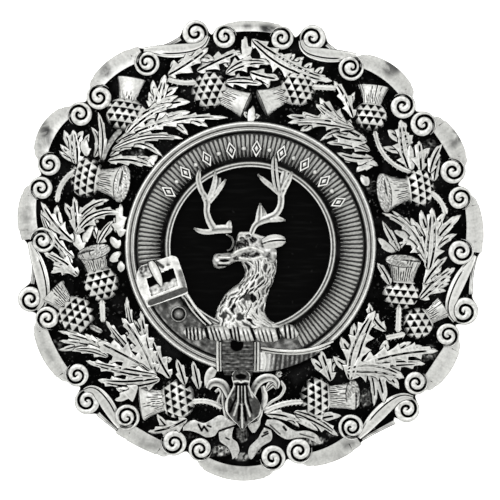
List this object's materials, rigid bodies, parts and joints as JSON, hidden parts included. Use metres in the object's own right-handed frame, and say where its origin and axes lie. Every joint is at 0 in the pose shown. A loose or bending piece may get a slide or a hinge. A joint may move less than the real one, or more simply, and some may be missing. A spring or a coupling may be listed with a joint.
{
  "type": "plaid brooch",
  "caption": "Round domed cast brooch with a scrolled border, a thistle wreath, and a strap-and-buckle stag badge on a black field, with a closed pin across its hollow back.",
  "frame": {"origin": "middle of the back rim's plane, under the middle of the brooch's width and height", "axes": "+Z out of the decorated face, +Y towards the top of the stag's head as worn, +X to the right as seen from the front"},
  "size_m": [0.0797, 0.0794, 0.012],
  "materials": {
    "antiqued_metal": "cast metal polished on its high parts, with black in the hollows",
    "black_field": "smooth black enamel, lightly scratched",
    "badge_metal": "cast metal, darkened and rubbed bright on its edges",
    "pin_steel": "plain drawn steel wire and pressed fittings"
  },
  "bodies": {
    "root": {"cast_plate": "antiqued_metal", "ground_disc": "black_field", "crest_badge": "badge_metal", "pin_fitting": "pin_steel"}
  },
  "joints": []
}
